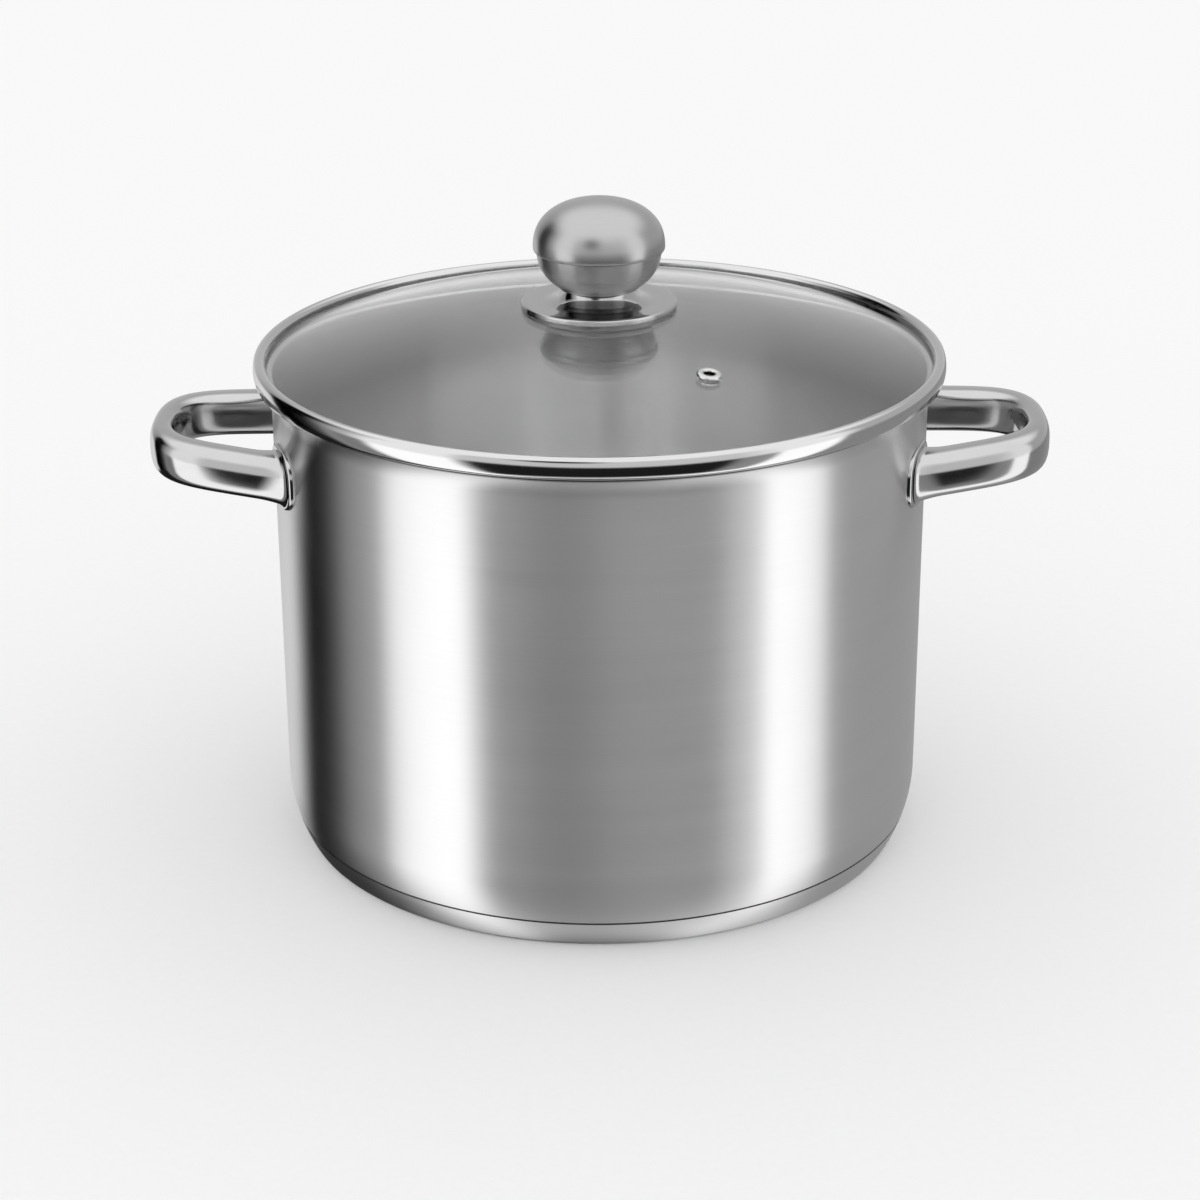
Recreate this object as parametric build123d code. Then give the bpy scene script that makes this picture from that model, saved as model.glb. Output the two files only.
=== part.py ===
from build123d import *

import os
from math import acos, asin, cos, degrees, pi, radians, sin, sqrt

# Covered pot with two side handles. Millimetres, +Z up, origin at the centre of the base's underside.
# Profiles are drawn as (radius, height). A profile's "depth" is the distance inside its outer surface.

# Pot body
POT_R = 120.0
WALL = 0.7
HEEL_R = 48.0
HEEL_Z = 24.0
FLOOR_CORNER_R = 6.5
FLARE_R = 12.0
FLARE_Z = 169.8
LID_SEAT_Z = 177.5

# Capsule base: an aluminium disc closed in by a thin steel cap
CAP_T = 0.5
CORE_T = 4.0
CAP_EDGE_R = 2.0
SEAM_Z = 10.7
SEAM_GROOVE = 0.5
CORE_TOP_Z = 6.5

# Glass dome
DOME_R = 389.2
DOME_TOP_Z = 202.0
GLASS_T = 4.0
GLASS_EDGE_R = 122.8
KNOB_HOLE_R = 4.0

# Rolled steel band round the glass, with a skirt that drops inside the pot's mouth
BAND_R = 126.2
BAND_T = 0.45
BAND_FACE_R = 9.0
BAND_CORNER_R = 2.1
BAND_FACE_HALF = radians(15.5)
BAND_LIFT = 0.01
SKIRT_R = 118.6
SKIRT_BEND_R = 0.9
SKIRT_BOTTOM_Z = 170.6

# Steam vent eyelet, riveted through the glass
VENT_RADIUS = 75.2
VENT_ANGLE = -60.0
VENT_GLASS_HOLE_R = 2.8
VENT_GRIP = GLASS_T + 0.03
VENT_BORE_R = 1.9
VENT_TUBE_R = 2.6
VENT_MOUTH_R = 0.8
VENT_FLANGE_R = 4.5
VENT_FLANGE_T = 1.0
VENT_FOOT_R = 3.9
VENT_FOOT_T = 0.9

# Knob: a satin dome crimped over a bowl, on a trumpet base
KNOB_SHEET = 0.5
KNOB_R = 23.9
KNOB_WIDEST_Z = 222.9
KNOB_TOP_Z = 240.3
KNOB_CRIMP_R = 1.5
KNOB_CRIMP_TURN = radians(70)
KNOB_SQUARENESS = 2.3
DOME_STEPS = 8
BOWL_R = 22.7
BOWL_DEPTH = 17.4
BOWL_STEPS = 6
COLLAR_R = 14.8
COLLAR_EASE = 0.6
NECK_R = 12.3
NECK_Z = 208.0
BASE_SHEET = 0.6
CONE_ARC_R = 6.6
CONE_R = 18.2
FLANGE_Z = 203.0
FLANGE_R = 28.3
FLANGE_EDGE_R = 1.5
FLANGE_RIM_Z = 201.05
UPPER_GASKET_R = 26.3
UPPER_GASKET_BORE_R = 5.2
UPPER_GASKET_T = 0.8

# Knob fixings, from the threaded insert down to the screw head
SCREW_R = 2.5
THREAD_R = 2.52
CLEARANCE_R = 2.8
SCREW_END_Z = 216.5
SCREW_HEAD_R = 4.75
SCREW_HEAD_H = 3.2
SCREW_CROWN_R = 7.0
RECESS_W = 1.2
RECESS_L = 5.0
RECESS_DEPTH = 1.9
INSERT_PLATE_R = 10.5
INSERT_PLATE_T = 2.0
INSERT_BOSS_R = 5.0
INSERT_TOP_Z = 218.0
LOWER_GASKET_R = 9.5
LOWER_GASKET_Z = 196.8
SLEEVE_R = 3.9
SLEEVE_TOP_Z = 201.4
WASHER_R = 8.5
WASHER_T = 0.9
LOCK_WASHER_R = 4.4
LOCK_WASHER_T = 1.2
LOCK_WASHER_GAP = 0.8

# Side handles: hollow D loops that rise outward. Each plan edge of a loop is a line from the root that
# closes on the tip as a superellipse, described by (tip reach, half width at the root, taper, run and
# width exponents).
LOOP_ROOT_X = 112.0
LOOP_OUTER = (165.3, 47.35, 0.278, 6.73, 2.5)
LOOP_INNER = (156.3, 30.7, 0.244, 7.3, 2.5)
LOOP_START = -0.09
LOOP_STATIONS = 11
GRIP_H = 16.5
GRIP_WALL = 1.0
GRIP_ROUNDING = 0.375
GRIP_Z = 150.9
GRIP_Z_AT_X = 145.0
GRIP_RISE = 0.077

# Welded feet that join each handle leg to the wall
FOOT_T = 1.3
FOOT_Y = 38.5
FOOT_Z = 149.0
FOOT_W = 25.0
FOOT_H = 22.0
FOOT_CORNER_R = 9.0

HEEL_CENTRE = (POT_R - HEEL_R, HEEL_Z)
FLOOR_Z = CAP_T + CORE_T
CAP_TOP_Z = SEAM_Z - SEAM_GROOVE
DOME_CENTRE = (0, DOME_TOP_Z - DOME_R)


def arc(centre, start, end):
    """Shorter arc about centre from start to end."""
    to_start = Vector(*start) - Vector(*centre)
    to_end = Vector(*end) - Vector(*centre)
    to_middle = (to_start + to_end).normalized() * to_start.length
    return ThreePointArc(start, Vector(*centre) + to_middle, end)


def polar(centre, radius, angle):
    """Point at this radius and angle about centre."""
    return centre[0] + radius * cos(angle), centre[1] + radius * sin(angle)


def turned(edges):
    """Solid of revolution about Z from the edges of a closed profile."""
    return revolve(Plane.XZ * make_face(edges), Axis.Z)


def sheet(profile, thickness):
    """Turned sheet between a profile's outer surface and its parallel one thickness inside it."""
    outer = profile(0)
    inner = profile(thickness)
    first = Line(outer[0] @ 0, inner[0] @ 0)
    last = Line(outer[-1] @ 1, inner[-1] @ 1)
    return turned([*outer, last, *inner, first])


def washer(outer_r, inner_r, low_z, high_z):
    """Flat ring about Z."""
    ring = Cylinder(outer_r, high_z - low_z) - Cylinder(inner_r, high_z - low_z)
    return Pos(0, 0, (low_z + high_z) / 2) * ring


# Pot body and base


def heel_point(radius, z):
    """Point at height z on the heel arc of this radius."""
    return HEEL_CENTRE[0] + sqrt(radius**2 - (HEEL_Z - z) ** 2), z


def heel_corner(heel_r, corner_r, floor_z):
    """Centre of the corner arc between the floor and the heel arc, and the point where it meets the heel."""
    z = floor_z + corner_r
    x = HEEL_CENTRE[0] + sqrt((heel_r - corner_r) ** 2 - (HEEL_Z - z) ** 2)
    reach = heel_r / (heel_r - corner_r)
    meet = (HEEL_CENTRE[0] + (x - HEEL_CENTRE[0]) * reach, HEEL_Z + (z - HEEL_Z) * reach)
    return (x, z), meet


def wall_profile(depth):
    """Pot wall from the axis to the lip, stepped in by the cap's thickness below the base seam."""
    upper_r = HEEL_R - depth
    lower_r = HEEL_R - CAP_T - depth
    corner, meet = heel_corner(lower_r, FLOOR_CORNER_R - depth, FLOOR_Z + depth)
    floor = (corner[0], FLOOR_Z + depth)
    step_low = heel_point(lower_r, CAP_TOP_Z)
    step_high = heel_point(upper_r, SEAM_Z)
    heel_top = (POT_R - depth, HEEL_Z)
    flare_centre = (POT_R + FLARE_R, FLARE_Z)
    flare_start = (POT_R - depth, FLARE_Z)
    lip_x = flare_centre[0] - sqrt((FLARE_R + depth) ** 2 - (LID_SEAT_Z - FLARE_Z) ** 2)
    return [
        Line((0, floor[1]), floor),
        arc(corner, floor, meet),
        arc(HEEL_CENTRE, meet, step_low),
        Line(step_low, step_high),
        arc(HEEL_CENTRE, step_high, heel_top),
        Line(heel_top, flare_start),
        arc(flare_centre, flare_start, (lip_x, LID_SEAT_Z)),
    ]


def cap_profile(depth):
    """Base cap from the axis to its top edge at the seam."""
    corner, meet = heel_corner(HEEL_R - depth, CAP_EDGE_R - depth, depth)
    edge = (corner[0], depth)
    return [
        Line((0, depth), edge),
        arc(corner, edge, meet),
        arc(HEEL_CENTRE, meet, heel_point(HEEL_R - depth, CAP_TOP_Z)),
    ]


def make_core():
    """Aluminium disc that fills the space between the cap and the pot's floor."""
    cap_corner, cap_meet = heel_corner(HEEL_R - CAP_T, CAP_EDGE_R - CAP_T, CAP_T)
    floor_corner, _ = heel_corner(HEEL_R - CAP_T, FLOOR_CORNER_R, FLOOR_Z)
    low_edge = (cap_corner[0], CAP_T)
    outer_top = heel_point(HEEL_R - CAP_T, CORE_TOP_Z)
    inner_reach = sqrt(FLOOR_CORNER_R**2 - (floor_corner[1] - CORE_TOP_Z) ** 2)
    inner_top = (floor_corner[0] + inner_reach, CORE_TOP_Z)
    floor_edge = (floor_corner[0], FLOOR_Z)
    return turned(
        [
            Line((0, CAP_T), low_edge),
            arc(cap_corner, low_edge, cap_meet),
            arc(HEEL_CENTRE, cap_meet, outer_top),
            Line(outer_top, inner_top),
            arc(floor_corner, inner_top, floor_edge),
            Line(floor_edge, (0, FLOOR_Z)),
            Line((0, FLOOR_Z), (0, CAP_T)),
        ]
    )


# Handles


def loop_edge(edge, t):
    """Plan point on one edge of a handle loop, from the root (t = 0) to the tip (t = 1)."""
    reach, half_width, taper, run_power, width_power = edge
    run = sin(t * pi / 2)
    x = LOOP_ROOT_X + (reach - LOOP_ROOT_X) * run
    y = half_width - taper * (x - LOOP_ROOT_X)
    return Vector(x, y * max(0, 1 - abs(run) ** run_power) ** (1 / width_power))


def grip_section(t, mirrored, inset):
    """Rounded section across the loop at t, on the +Y leg or the mirrored one."""
    outer = loop_edge(LOOP_OUTER, t)
    inner = loop_edge(LOOP_INNER, t)
    if mirrored:
        outer = Vector(outer.X, -outer.Y)
        inner = Vector(inner.X, -inner.Y)
    middle = (outer + inner) / 2
    across = outer - inner
    origin = Vector(middle.X, middle.Y, GRIP_Z + GRIP_RISE * (middle.X - GRIP_Z_AT_X))
    plane = Plane(origin=origin, x_dir=across, z_dir=across.cross(Vector(0, 0, 1)))
    thickness = across.length - 2 * inset
    radius = thickness * GRIP_ROUNDING
    return plane * RectangleRounded(thickness, GRIP_H - 2 * inset, radius)


def loop_solid(inset):
    """Solid D loop, inset from the grip's outer surface."""
    steps = [LOOP_START + (1 - LOOP_START) * k / LOOP_STATIONS for k in range(LOOP_STATIONS + 1)]
    sections = [grip_section(t, False, inset) for t in steps]
    sections += [grip_section(t, True, inset) for t in reversed(steps[:-1])]
    return loft(sections)


def make_grip():
    """Hollow handle loop on the +X side, its open legs cut to sit on the feet."""
    return loop_solid(0) - loop_solid(GRIP_WALL) - Cylinder(POT_R + FOOT_T, 3 * GRIP_Z)


def make_foot():
    """Rounded plate on the wall under the handle leg at +X, +Y."""
    outline = Plane.YZ * Pos(FOOT_Y, FOOT_Z) * RectangleRounded(FOOT_W, FOOT_H, FOOT_CORNER_R)
    blank = extrude(outline, 2 * POT_R)
    return blank & washer(POT_R + FOOT_T, POT_R, 0, 2 * FOOT_Z)


# Lid


def dome_point(radius, depth):
    """Point of the dome surface at this radius, depth inside the glass's outer face."""
    return radius, DOME_CENTRE[1] + sqrt((DOME_R - depth) ** 2 - radius**2)


def make_vent_frame():
    """Frame on the outer glass face at the vent, with its Z along the glass's outward normal."""
    tilt = degrees(asin(VENT_RADIUS / DOME_R))
    return Rot(0, 0, VENT_ANGLE) * Pos(0, 0, DOME_CENTRE[1]) * Rot(0, tilt, 0) * Pos(0, 0, DOME_R)


def make_glass(vent_frame):
    """Dome of even thickness with a round edge, a knob hole and a vent hole."""
    lean = asin(GLASS_EDGE_R / (DOME_R - GLASS_T / 2))
    upper = polar(DOME_CENTRE, DOME_R, pi / 2 - lean)
    lower = polar(DOME_CENTRE, DOME_R - GLASS_T, pi / 2 - lean)
    middle = polar(DOME_CENTRE, DOME_R - GLASS_T / 2, pi / 2 - lean)
    tip = polar(middle, GLASS_T / 2, -lean)
    hole_top = dome_point(KNOB_HOLE_R, 0)
    hole_foot = dome_point(KNOB_HOLE_R, GLASS_T)
    dome = turned(
        [
            arc(DOME_CENTRE, hole_top, upper),
            ThreePointArc(upper, tip, lower),
            arc(DOME_CENTRE, lower, hole_foot),
            Line(hole_foot, hole_top),
        ]
    )
    return dome - vent_frame * Cylinder(VENT_GLASS_HOLE_R, 4 * GLASS_T)


def band_profile(depth):
    """Rim band from the glass over the bead, along the seat, to the foot of the skirt."""
    corner_reach = BAND_FACE_R - BAND_CORNER_R
    middle_z = LID_SEAT_Z + BAND_CORNER_R + corner_reach * sin(BAND_FACE_HALF)
    face = (BAND_R - BAND_FACE_R, middle_z)
    top = polar(face, corner_reach, BAND_FACE_HALF)
    bottom = polar(face, corner_reach, -BAND_FACE_HALF)
    corner_r = BAND_CORNER_R - depth
    face_top = polar(top, corner_r, BAND_FACE_HALF)
    face_bottom = polar(bottom, corner_r, -BAND_FACE_HALF)
    inner_x = top[0] - corner_r
    bend = (SKIRT_R + SKIRT_BEND_R, LID_SEAT_Z - SKIRT_BEND_R)
    seat_end = (bend[0], LID_SEAT_Z + depth)
    skirt_top = (SKIRT_R - depth, bend[1])
    return [
        Line(dome_point(inner_x, -BAND_LIFT), (inner_x, top[1])),
        arc(top, (inner_x, top[1]), face_top),
        arc(face, face_top, face_bottom),
        arc(bottom, face_bottom, (bottom[0], bottom[1] - corner_r)),
        Line((bottom[0], bottom[1] - corner_r), seat_end),
        arc(bend, seat_end, skirt_top),
        Line(skirt_top, (SKIRT_R - depth, SKIRT_BOTTOM_Z)),
    ]


def make_vent():
    """Eyelet in the vent's own frame: a bore with rolled mouths, a flange above and a clinched foot below."""
    flange = (VENT_FLANGE_R - VENT_FLANGE_T, 0)
    foot = (VENT_FOOT_R - VENT_FOOT_T, -VENT_GRIP)
    foot_z = -VENT_GRIP - VENT_FOOT_T
    mouth_x = VENT_BORE_R + VENT_MOUTH_R
    upper_mouth = (mouth_x, VENT_FLANGE_T - VENT_MOUTH_R)
    lower_mouth = (mouth_x, foot_z + VENT_MOUTH_R)
    return turned(
        [
            Line((VENT_TUBE_R, 0), (VENT_FLANGE_R, 0)),
            arc(flange, (VENT_FLANGE_R, 0), (flange[0], VENT_FLANGE_T)),
            Line((flange[0], VENT_FLANGE_T), (mouth_x, VENT_FLANGE_T)),
            arc(upper_mouth, (mouth_x, VENT_FLANGE_T), (VENT_BORE_R, upper_mouth[1])),
            Line((VENT_BORE_R, upper_mouth[1]), (VENT_BORE_R, lower_mouth[1])),
            arc(lower_mouth, (VENT_BORE_R, lower_mouth[1]), (mouth_x, foot_z)),
            Line((mouth_x, foot_z), (foot[0], foot_z)),
            arc(foot, (foot[0], foot_z), (VENT_FOOT_R, foot[1])),
            Line((VENT_FOOT_R, foot[1]), (VENT_TUBE_R, foot[1])),
            Line((VENT_TUBE_R, foot[1]), (VENT_TUBE_R, 0)),
        ]
    )


# Knob


def knob_curve(half_width, rise, turn, steps):
    """Points of a superellipse centred on the knob's widest level, from its widest point through this turn."""
    power = 2 / KNOB_SQUARENESS
    angles = [turn * k / steps for k in range(steps + 1)]
    return [(half_width * abs(cos(a)) ** power, KNOB_WIDEST_Z + rise * sin(a) ** power) for a in angles]


def knob_cap_profile(depth):
    """Satin dome from its crimped lower edge to the top."""
    crimp = (KNOB_R - KNOB_CRIMP_R, KNOB_WIDEST_Z)
    crimp_r = KNOB_CRIMP_R - depth
    half_width = KNOB_R - depth
    rise = KNOB_TOP_Z - KNOB_WIDEST_Z - depth
    points = knob_curve(half_width, rise, pi / 2, DOME_STEPS)
    dome = Spline(points, tangents=[(0, 1), (-1, 0)])
    return [
        arc(crimp, polar(crimp, crimp_r, -KNOB_CRIMP_TURN), (KNOB_R - depth, KNOB_WIDEST_Z)),
        dome,
    ]


def bowl_profile(depth):
    """Knob bowl from its rim inside the cap, down its belly and short collar, to the hole in its floor."""
    collar_angle = acos((COLLAR_R / BOWL_R) ** (KNOB_SQUARENESS / 2))
    points = knob_curve(BOWL_R - depth, depth - BOWL_DEPTH, collar_angle, BOWL_STEPS)
    collar_x, collar_top = points[-1]
    ease = (collar_x - COLLAR_EASE + depth, NECK_Z + COLLAR_EASE)
    ease_r = COLLAR_EASE - depth
    return [
        Spline(points),
        Line((collar_x, collar_top), (collar_x, ease[1])),
        arc(ease, (collar_x, ease[1]), (ease[0], ease[1] - ease_r)),
        Line((ease[0], ease[1] - ease_r), (CLEARANCE_R, NECK_Z + depth)),
    ]


def knob_base_profile(depth):
    """Trumpet base from the screw hole in its top, down the cone, to the rim on the glass."""
    chord = Vector(CONE_R - NECK_R, FLANGE_Z - NECK_Z)
    lift = sqrt(CONE_ARC_R**2 - (chord.length / 2) ** 2) / chord.length
    cone = ((NECK_R + CONE_R) / 2 - chord.Y * lift, (NECK_Z + FLANGE_Z) / 2 + chord.X * lift)
    cone_r = CONE_ARC_R + depth

    def on_cone(z):
        return cone[0] - sqrt(cone_r**2 - (cone[1] - z) ** 2), z

    top = on_cone(NECK_Z - depth)
    crease = on_cone(FLANGE_Z - depth)
    edge = (FLANGE_R - FLANGE_EDGE_R, FLANGE_Z - FLANGE_EDGE_R)
    flange_end = (edge[0], FLANGE_Z - depth)
    rim_top = (FLANGE_R - depth, edge[1])
    return [
        Line((CLEARANCE_R, NECK_Z - depth), top),
        arc(cone, top, crease),
        Line(crease, flange_end),
        arc(edge, flange_end, rim_top),
        Line(rim_top, (FLANGE_R - depth, FLANGE_RIM_Z)),
    ]


def make_upper_gasket():
    """Soft ring between the knob base and the glass, curved like the glass."""
    foot_in = dome_point(UPPER_GASKET_BORE_R, 0)
    foot_out = dome_point(UPPER_GASKET_R, 0)
    top_in = dome_point(UPPER_GASKET_BORE_R, -UPPER_GASKET_T)
    top_out = dome_point(UPPER_GASKET_R, -UPPER_GASKET_T)
    return turned(
        [
            arc(DOME_CENTRE, foot_in, foot_out),
            Line(foot_out, top_out),
            arc(DOME_CENTRE, top_out, top_in),
            Line(top_in, foot_in),
        ]
    )


def make_lower_gasket():
    """Soft washer under the glass, with a sleeve that keeps the screw off the hole's edge."""
    glass_in = dome_point(SLEEVE_R, GLASS_T)
    glass_out = dome_point(LOWER_GASKET_R, GLASS_T)
    return turned(
        [
            Line((CLEARANCE_R, LOWER_GASKET_Z), (LOWER_GASKET_R, LOWER_GASKET_Z)),
            Line((LOWER_GASKET_R, LOWER_GASKET_Z), glass_out),
            arc(DOME_CENTRE, glass_out, glass_in),
            Line(glass_in, (SLEEVE_R, SLEEVE_TOP_Z)),
            Line((SLEEVE_R, SLEEVE_TOP_Z), (CLEARANCE_R, SLEEVE_TOP_Z)),
            Line((CLEARANCE_R, SLEEVE_TOP_Z), (CLEARANCE_R, LOWER_GASKET_Z)),
        ]
    )


def make_insert():
    """Threaded insert that stands on the bowl's floor."""
    floor = NECK_Z + KNOB_SHEET
    plate = washer(INSERT_PLATE_R, THREAD_R, floor, floor + INSERT_PLATE_T)
    boss = Pos(0, 0, (floor + INSERT_TOP_Z) / 2) * Cylinder(INSERT_BOSS_R, INSERT_TOP_Z - floor)
    bore = Pos(0, 0, SCREW_END_Z / 2) * Cylinder(THREAD_R, SCREW_END_Z + SCREW_R / 5)
    return plate + boss - bore


def make_lock_washer(top_z):
    """Split spring washer, shown flattened as it is under the tightened screw."""
    ring = washer(LOCK_WASHER_R, CLEARANCE_R, top_z - LOCK_WASHER_T, top_z)
    return ring - Pos(LOCK_WASHER_R, 0, top_z) * Box(LOCK_WASHER_R, LOCK_WASHER_GAP, 4 * LOCK_WASHER_T)


def make_screw(head_top_z):
    """Pan head screw with a cross recess, driven up from inside the lid."""
    head_foot_z = head_top_z - SCREW_HEAD_H
    shank = Pos(0, 0, (head_top_z + SCREW_END_Z) / 2) * Cylinder(SCREW_R, SCREW_END_Z - head_top_z)
    head = washer(SCREW_HEAD_R, 0.5 * SCREW_R, head_foot_z, head_top_z) + shank
    core = Pos(0, 0, (head_foot_z + head_top_z) / 2) * Cylinder(SCREW_R, SCREW_HEAD_H)
    crown = Pos(0, 0, head_foot_z + SCREW_CROWN_R) * Sphere(SCREW_CROWN_R)
    keep = crown + Pos(0, 0, head_foot_z + SCREW_CROWN_R + SCREW_END_Z / 2) * Cylinder(
        SCREW_HEAD_R, SCREW_END_Z
    )
    slot_z = head_foot_z + RECESS_DEPTH / 2
    recess = Pos(0, 0, slot_z) * Box(RECESS_L, RECESS_W, RECESS_DEPTH)
    recess += Pos(0, 0, slot_z) * Box(RECESS_W, RECESS_L, RECESS_DEPTH)
    return ((head + core) & keep) - recess


def build():
    """All the pieces by node name, in place."""
    vent_frame = make_vent_frame()
    washer_top = LOWER_GASKET_Z
    lock_top = washer_top - WASHER_T
    grip = make_grip()
    foot = make_foot()
    nodes = {
        "pot_body": sheet(wall_profile, WALL),
        "base_core": make_core(),
        "base_cap": sheet(cap_profile, CAP_T),
        "lid_glass": make_glass(vent_frame),
        "lid_rim_band": sheet(band_profile, BAND_T),
        "vent_grommet": vent_frame * make_vent(),
        "knob_cap": sheet(knob_cap_profile, KNOB_SHEET),
        "knob_bowl": sheet(bowl_profile, KNOB_SHEET),
        "knob_base": sheet(knob_base_profile, BASE_SHEET),
        "knob_insert": make_insert(),
        "knob_gasket_top": make_upper_gasket(),
        "knob_gasket_bottom": make_lower_gasket(),
        "knob_washer": washer(WASHER_R, CLEARANCE_R, washer_top - WASHER_T, washer_top),
        "knob_lock_washer": make_lock_washer(lock_top),
        "knob_screw": make_screw(lock_top - LOCK_WASHER_T),
    }
    for side, turn in (("right", 0), ("left", 180)):
        nodes[f"handle_{side}_grip"] = Rot(0, 0, turn) * grip
    for side, end, plane in (("right", "back", None), ("right", "front", Plane.XZ)):
        placed = mirror(foot, plane) if plane else foot
        nodes[f"handle_{side}_foot_{end}"] = placed
        nodes[f"handle_left_foot_{end}"] = mirror(placed, Plane.YZ)
    return nodes


os.makedirs("parts", exist_ok=True)
for node, shape in build().items():
    export_step(shape, f"parts/{node}.step")
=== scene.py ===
from math import acos, asin, atan2, cos, degrees, exp, hypot, pi, radians, sin, sqrt

import bpy
import numpy as np
from mathutils import Matrix, Vector


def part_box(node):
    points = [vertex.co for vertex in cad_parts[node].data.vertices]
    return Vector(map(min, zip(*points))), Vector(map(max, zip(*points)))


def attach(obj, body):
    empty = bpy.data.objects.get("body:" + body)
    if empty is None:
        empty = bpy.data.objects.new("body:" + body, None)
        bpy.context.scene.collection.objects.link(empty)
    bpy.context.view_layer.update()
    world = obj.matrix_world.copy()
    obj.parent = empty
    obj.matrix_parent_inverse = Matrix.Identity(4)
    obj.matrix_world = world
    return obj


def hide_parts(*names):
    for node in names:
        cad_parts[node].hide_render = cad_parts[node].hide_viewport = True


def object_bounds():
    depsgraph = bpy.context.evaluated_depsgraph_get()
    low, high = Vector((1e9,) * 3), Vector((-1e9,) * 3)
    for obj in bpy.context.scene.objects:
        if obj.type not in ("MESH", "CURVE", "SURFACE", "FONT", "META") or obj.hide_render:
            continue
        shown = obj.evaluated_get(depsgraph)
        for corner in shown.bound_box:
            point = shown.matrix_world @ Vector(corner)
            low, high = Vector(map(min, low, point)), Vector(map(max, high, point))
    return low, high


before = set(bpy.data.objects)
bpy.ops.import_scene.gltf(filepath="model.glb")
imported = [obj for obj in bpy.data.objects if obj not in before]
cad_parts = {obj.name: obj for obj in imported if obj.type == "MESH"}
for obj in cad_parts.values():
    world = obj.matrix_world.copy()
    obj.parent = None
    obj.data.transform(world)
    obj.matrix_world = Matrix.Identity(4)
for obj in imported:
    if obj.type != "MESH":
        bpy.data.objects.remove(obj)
cad_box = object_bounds()

# Shapes are drawn in millimetres and scaled to metres when a mesh is made.
MM = 0.001
TURN_STEPS = 256


# Geometry


def new_object(name, verts, faces, sharp=35):
    mesh = bpy.data.meshes.new(name)
    mesh.from_pydata([tuple(c * MM for c in v) for v in verts], [], faces)
    mesh.validate()
    mesh.update()
    mesh.shade_smooth()
    mesh.set_sharp_from_angle(angle=radians(sharp))
    obj = bpy.data.objects.new(name, mesh)
    bpy.context.scene.collection.objects.link(obj)
    return obj


def finish_piece(obj, body, slot, material, *nodes):
    obj.data.materials.clear()
    obj.data.materials.append(material)
    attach(obj, body)
    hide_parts(*nodes)
    return obj


def lathe(name, outline, steps=TURN_STEPS, sharp=35):
    """Closed outline of (radius, z), wound so that its outside is on the right, turned about Z."""
    verts, rows, faces = [], [], []
    for r, z in outline:
        if r < 1e-6:
            rows.append([len(verts)] * steps)
            verts.append((0, 0, z))
        else:
            rows.append([len(verts) + k for k in range(steps)])
            angles = [2 * pi * k / steps for k in range(steps)]
            verts += [(r * cos(a), r * sin(a), z) for a in angles]
    for i in range(len(rows)):
        low, high = rows[i], rows[(i + 1) % len(rows)]
        for k in range(steps):
            n = (k + 1) % steps
            face = []
            for v in (low[k], low[n], high[n], high[k]):
                if v not in face:
                    face.append(v)
            if len(face) > 2:
                faces.append(face)
    return new_object(name, verts, faces, sharp)


def arc(centre, radius, start, end, steps):
    """Points along an arc from start to end, in degrees."""
    angles = [radians(start + (end - start) * k / steps) for k in range(steps + 1)]
    return [(centre[0] + radius * cos(a), centre[1] + radius * sin(a)) for a in angles]


def line(start, end, steps):
    """Points between start and end, both left out."""
    return [tuple(a + (b - a) * k / steps for a, b in zip(start, end)) for k in range(1, steps)]


def joined(*runs):
    """Runs of points in order, without repeats where they meet."""
    points = []
    for run in runs:
        for p in run:
            if not points or hypot(p[0] - points[-1][0], p[1] - points[-1][1]) > 1e-4:
                points.append(p)
    return points


def angle_to(centre, point):
    return degrees(atan2(point[1] - centre[1], point[0] - centre[0]))


def span(node):
    low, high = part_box(node)
    return low / MM, high / MM


def closed_sheet(run, thickness):
    """Outline of a sheet, from a function that gives its side at a depth below the outside."""
    return run(0) + run(thickness)[::-1]


# Pot body

pot_low, pot_high = span("pot_body")
FLOOR_Z = pot_low.z
SEAT_Z = pot_high.z
CAP_TOP_Z = span("base_cap")[1].z
SEAM_Z = CAP_TOP_Z + 0.5
WALL_T = 0.7
CAP_T = 0.5
POT_R = 120.0
HEEL_R, HEEL_Z = 48.0, 24.0
HEEL_C = (POT_R - HEEL_R, HEEL_Z)
FLARE_R, FLARE_Z = 12.0, 169.8
FLOOR_CORNER_R = 6.5
CAP_CORNER_R = 2.0


def heel_at(radius, z):
    """Point at height z on a circle about the heel's centre."""
    return (HEEL_C[0] + sqrt(radius**2 - (HEEL_Z - z) ** 2), z)


def heel_corner(heel_r, corner_r, floor_z):
    """Centre of the corner that joins a flat floor to the heel."""
    return heel_at(heel_r - corner_r, floor_z + corner_r)


def wall_run(depth):
    """Floor, heel with its step at the seam, wall and flared lip."""
    upper = HEEL_R - depth
    lower = HEEL_R - CAP_T - depth
    floor_z = FLOOR_Z + depth
    corner = heel_corner(lower, FLOOR_CORNER_R - depth, floor_z)
    meet_angle = angle_to(HEEL_C, corner)
    step_low = heel_at(lower, CAP_TOP_Z)
    step_high = heel_at(upper, SEAM_Z)
    flare_c = (POT_R + FLARE_R, FLARE_Z)
    lip_x = flare_c[0] - sqrt((FLARE_R + depth) ** 2 - (SEAT_Z - FLARE_Z) ** 2)
    return joined(
        [(0, floor_z)],
        line((0, floor_z), (corner[0], floor_z), 24),
        arc(corner, FLOOR_CORNER_R - depth, -90, meet_angle, 10),
        arc(HEEL_C, lower, meet_angle, angle_to(HEEL_C, step_low), 3),
        arc(HEEL_C, upper, angle_to(HEEL_C, step_high), 0, 14),
        line((POT_R - depth, HEEL_Z), (POT_R - depth, FLARE_Z), 30),
        arc(flare_c, FLARE_R + depth, 180, angle_to(flare_c, (lip_x, SEAT_Z)), 8),
    )


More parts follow.
